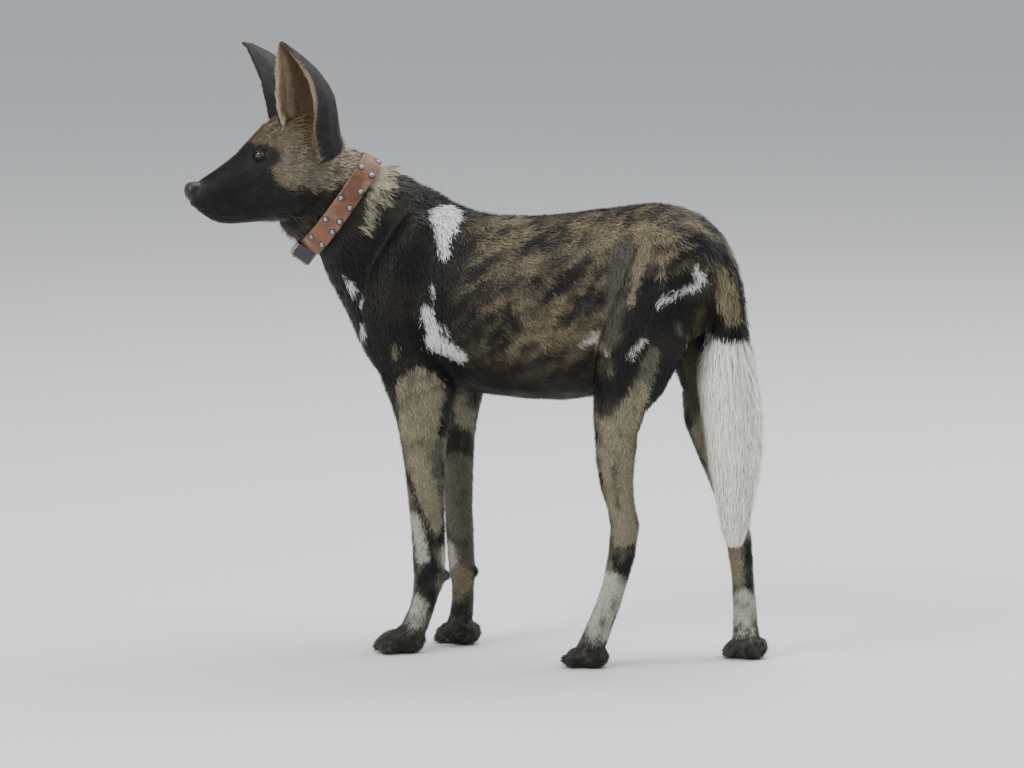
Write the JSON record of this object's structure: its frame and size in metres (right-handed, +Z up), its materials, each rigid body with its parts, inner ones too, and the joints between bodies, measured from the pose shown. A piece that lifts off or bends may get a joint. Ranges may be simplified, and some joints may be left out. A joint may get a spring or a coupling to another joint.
{
  "type": "african wild dog",
  "caption": "Life-size African wild dog standing with its head turned to its left, wearing a leather collar with a metal unit.",
  "frame": {"origin": "on the ground under the middle of the whole dog's bounding box", "axes": "+Z up, -X towards the chest and head, +X towards the tail, -Y on the dog's left side"},
  "size_m": [0.8733, 0.3039, 0.9378],
  "materials": {
    "coat": "short brindled fur in black, tan and white patches",
    "tail_plume": "long white brush hair",
    "ear_coat": "short dark fur, pale hair inside",
    "nose_skin": "moist pebbled skin",
    "eye": "glossy brown iris with a dark pupil",
    "claw": "worn horn",
    "collar_leather": "worn orange-brown leather",
    "collar_metal": "dull steel with bright edges"
  },
  "bodies": {
    "root": {"head": "coat", "nose": "nose_skin", "ear_left": "ear_coat", "ear_right": "ear_coat", "eye_left": "eye", "eye_right": "eye", "neck": "coat", "torso": "coat", "tail_root": "coat", "tail_brush": "tail_plume", "collar": "collar_leather", "collar_unit": "collar_metal", "front_left_upper": "coat", "front_left_lower": "coat", "front_left_foot": "coat", "front_left_claw_1": "claw", "front_left_claw_2": "claw", "front_left_claw_3": "claw", "front_left_claw_4": "claw", "front_right_upper": "coat", "front_right_lower": "coat", "front_right_foot": "coat", "front_right_claw_1": "claw", "front_right_claw_2": "claw", "front_right_claw_3": "claw", "front_right_claw_4": "claw", "hind_left_upper": "coat", "hind_left_lower": "coat", "hind_left_foot": "coat", "hind_left_claw_1": "claw", "hind_left_claw_2": "claw", "hind_left_claw_3": "claw", "hind_left_claw_4": "claw", "hind_right_upper": "coat", "hind_right_lower": "coat", "hind_right_foot": "coat", "hind_right_claw_1": "claw", "hind_right_claw_2": "claw", "hind_right_claw_3": "claw", "hind_right_claw_4": "claw"}
  },
  "joints": []
}
